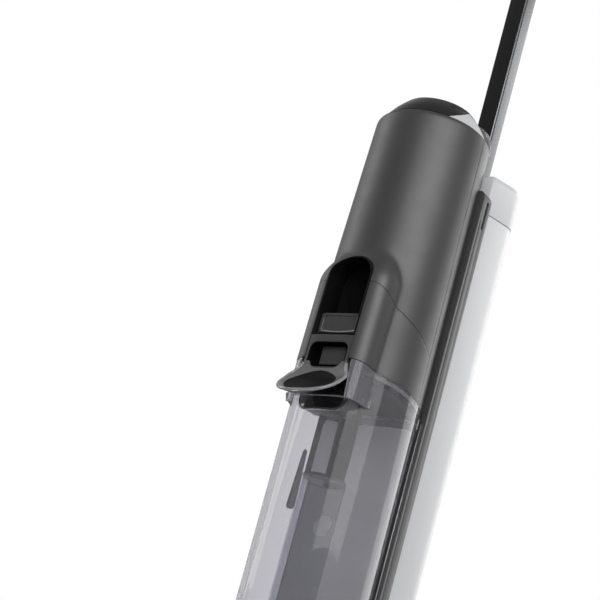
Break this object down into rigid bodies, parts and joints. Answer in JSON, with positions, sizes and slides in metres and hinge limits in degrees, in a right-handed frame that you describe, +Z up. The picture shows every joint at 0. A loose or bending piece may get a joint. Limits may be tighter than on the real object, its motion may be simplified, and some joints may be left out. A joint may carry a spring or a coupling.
{
  "type": "wet dry floor scrubber",
  "caption": "Cordless upright floor scrubber: driven roller head, reclining swivel neck, clear dirty water tank, white clean water tank, slim handle.",
  "frame": {"origin": "middle of the footprint on the floor, upright and locked", "axes": "+Z up along the machine, forward (roller side) is -Y, +X to the machine's left as seen from its user"},
  "size_m": [0.27, 0.28, 1.0999],
  "materials": {
    "charcoal": "satin moulded",
    "dark_plastic": "matt moulded",
    "black_plastic": "gloss moulded",
    "gloss_black": "polished",
    "silver": "satin plated",
    "board": "solder mask",
    "motor_steel": "brushed",
    "rubber": "matt",
    "aluminium": "anodised",
    "cell_wrap": "shrink wrap",
    "filter_foam": "open foam",
    "light_strip": "satin",
    "white": "satin gloss",
    "steel": "turned",
    "smoke_clear": "clear smoke",
    "clear_lip": "clear",
    "smoke_inner": "clear smoke",
    "grey_rubber": "matt",
    "grip_rubber": "soft touch",
    "grey_button": "satin",
    "hose": "ribbed",
    "smoke_cover": "smoke clear",
    "tyre": "matt",
    "white_core": "moulded",
    "roller_fabric": "short pile"
  },
  "bodies": {
    "foot": {"foot_base": "dark_plastic", "foot_cover": "charcoal", "squeegee_blade": "rubber", "scraper_bar": "grey_button", "spray_bar": "dark_plastic", "water_pump": "dark_plastic", "brush_motor": "motor_steel", "drive_belt": "rubber", "wheel_axles": "steel"},
    "neck": {"neck_yoke": "dark_plastic", "swivel_collar": "dark_plastic", "suction_hose": "hose"},
    "upright": {"upper_housing": "charcoal", "lower_housing": "charcoal", "hood_pocket": "black_plastic", "display_ring": "gloss_black", "display_lens": "gloss_black", "trim_crescent": "silver", "display_board": "board", "suction_motor": "motor_steel", "motor_mounts": "rubber", "battery_pack": "cell_wrap", "main_board": "board", "exhaust_filter": "filter_foam", "spine": "dark_plastic", "side_seals": "light_strip", "rear_cap": "white", "tube_socket": "black_plastic", "body_base": "dark_plastic", "body_screws": "steel"},
    "impeller": {"impeller": "aluminium"},
    "tank_button": {"tank_button": "gloss_black"},
    "dirty_tank": {"dirty_tank": "smoke_clear", "tank_lid": "black_plastic", "lid_seal": "rubber", "lid_lip": "clear_lip", "riser_tube": "smoke_inner", "float_guide": "dark_plastic", "dry_filter": "filter_foam"},
    "float": {"float_sleeve": "dark_plastic"},
    "clean_tank": {"clean_tank": "white", "tank_valve": "dark_plastic"},
    "fill_flap": {"fill_flap": "grey_rubber"},
    "clean_tank_button": {"clean_tank_button": "dark_plastic"},
    "handle": {"handle_tube": "aluminium", "tube_strip": "gloss_black", "grip_front": "charcoal", "grip_rear": "grip_rubber"},
    "power_button": {"power_button": "silver"},
    "clean_button": {"clean_button": "grey_button"},
    "mode_button": {"mode_button": "grey_button"},
    "tube_lock_button": {"tube_lock_button": "dark_plastic"},
    "roller": {"brush_core": "white_core", "brush_fabric": "roller_fabric", "roller_pulley": "white_core"},
    "motor_pulley": {"motor_pulley": "steel"},
    "roller_cover": {"roller_cover": "smoke_cover"},
    "cover_latch": {"cover_latch": "grey_button"},
    "wheel_left": {"wheel_left": "tyre"},
    "wheel_right": {"wheel_right": "tyre"}
  },
  "joints": [
    {"name": "recline", "type": "hinge", "parent": "foot", "child": "neck", "pos_m": [0, 0.05, 0.062], "axis": [-1, 0, 0], "range_deg": [0, 60]},
    {"name": "steer", "type": "hinge", "parent": "neck", "child": "upright", "pos_m": [0, 0.025, 0.13], "axis": [0, 0, 1], "range_deg": [-30, 30]},
    {"name": "impeller_spin", "type": "hinge", "parent": "upright", "child": "impeller", "pos_m": [0, 0.005, 0.37978], "axis": [0, 0.0276, 0.9996], "continuous": true},
    {"name": "tank_button_press", "type": "slide", "parent": "upright", "child": "tank_button", "axis": [0, 1, 0], "range_m": [0, 0.003], "stiffness_N_per_m": 400, "springref_m": -0.001},
    {"name": "dirty_tank_slide", "type": "slide", "parent": "upright", "child": "dirty_tank", "axis": [0, -1, 0], "range_m": [0, 0.16]},
    {"name": "float_rise", "type": "slide", "parent": "dirty_tank", "child": "float", "axis": [0, 0, 1], "range_m": [0, 0.018]},
    {"name": "clean_tank_slide", "type": "slide", "parent": "upright", "child": "clean_tank", "axis": [0, 1, 0], "range_m": [0, 0.14]},
    {"name": "fill_flap_hinge", "type": "hinge", "parent": "clean_tank", "child": "fill_flap", "pos_m": [0, 0.1133, 0.558], "axis": [1, 0, 0], "range_deg": [0, 110]},
    {"name": "clean_tank_button_press", "type": "slide", "parent": "upright", "child": "clean_tank_button", "axis": [0, -1, 0], "range_m": [0, 0.003], "stiffness_N_per_m": 400, "springref_m": -0.001},
    {"name": "handle_lift", "type": "slide", "parent": "upright", "child": "handle", "axis": [0, 0, 1], "range_m": [0, 0.05]},
    {"name": "power_press", "type": "slide", "parent": "handle", "child": "power_button", "axis": [0, 0.9776, -0.2105], "range_m": [0, 0.001], "stiffness_N_per_m": 400, "springref_m": -0.001},
    {"name": "clean_press", "type": "slide", "parent": "handle", "child": "clean_button", "axis": [0, 0.9776, -0.2105], "range_m": [0, 0.001], "stiffness_N_per_m": 400, "springref_m": -0.001},
    {"name": "mode_press", "type": "slide", "parent": "handle", "child": "mode_button", "axis": [0, 0.9776, -0.2105], "range_m": [0, 0.001], "stiffness_N_per_m": 400, "springref_m": -0.001},
    {"name": "tube_lock_press", "type": "slide", "parent": "handle", "child": "tube_lock_button", "axis": [0, -1, 0], "range_m": [0, 0.002], "stiffness_N_per_m": 400, "springref_m": -0.001},
    {"name": "roller_spin", "type": "hinge", "parent": "foot", "child": "roller", "pos_m": [0, -0.104, 0.03], "axis": [1, 0, 0], "continuous": true},
    {"name": "motor_pulley_spin", "type": "hinge", "parent": "foot", "child": "motor_pulley", "pos_m": [0, -0.03, 0.036], "axis": [1, 0, 0], "continuous": true},
    {"name": "roller_cover_lift", "type": "slide", "parent": "foot", "child": "roller_cover", "axis": [0, 0, 1], "range_m": [0, 0.05]},
    {"name": "cover_latch_slide", "type": "slide", "parent": "foot", "child": "cover_latch", "axis": [0, 1, 0], "range_m": [0, 0.005], "stiffness_N_per_m": 400, "springref_m": -0.001},
    {"name": "wheel_left_roll", "type": "hinge", "parent": "foot", "child": "wheel_left", "pos_m": [-0.099, 0.074, 0.022], "axis": [1, 0, 0], "continuous": true},
    {"name": "wheel_right_roll", "type": "hinge", "parent": "foot", "child": "wheel_right", "pos_m": [0.099, 0.074, 0.022], "axis": [1, 0, 0], "continuous": true}
  ],
  "couplings": [
    {"joint": "motor_pulley_spin", "follows": "roller_spin", "ratio": 2}
  ]
}
